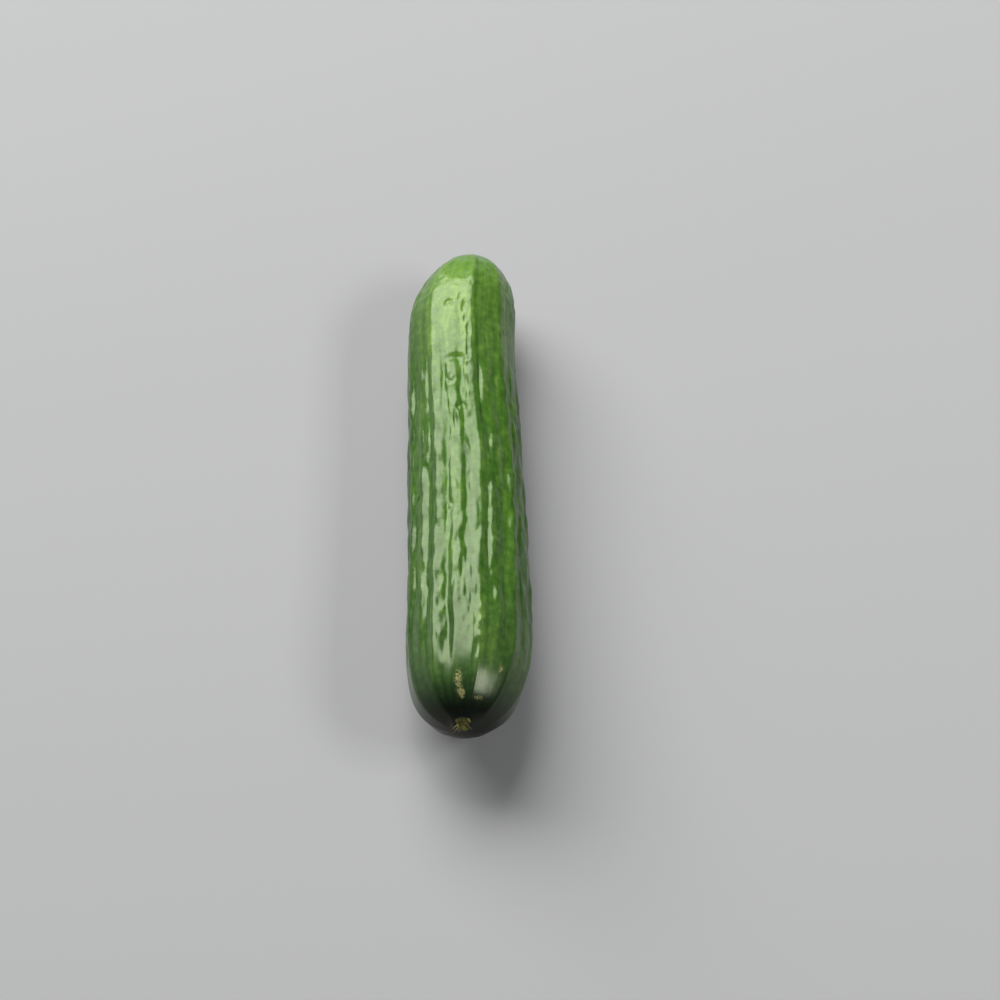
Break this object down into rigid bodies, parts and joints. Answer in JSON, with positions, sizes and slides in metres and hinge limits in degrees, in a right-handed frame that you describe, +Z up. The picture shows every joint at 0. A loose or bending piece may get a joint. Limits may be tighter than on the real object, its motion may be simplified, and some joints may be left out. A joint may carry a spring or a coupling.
{
  "type": "cucumber",
  "caption": "Short whole cucumber lying on its belly, with long ribs, a pebbled waxy skin, a dark stem end and a pale blossom end.",
  "frame": {"origin": "bottom centre of the cucumber, on the flat spot it lies on", "axes": "+Y along the cucumber from its stem end to its blossom end, +Z up, +X to the right seen from the stem end"},
  "size_m": [0.0357, 0.1604, 0.0352],
  "materials": {
    "skin": "waxy green skin, darker at the stem end and yellow-green at the blossom end"
  },
  "bodies": {
    "root": {"cucumber": "skin"}
  },
  "joints": []
}
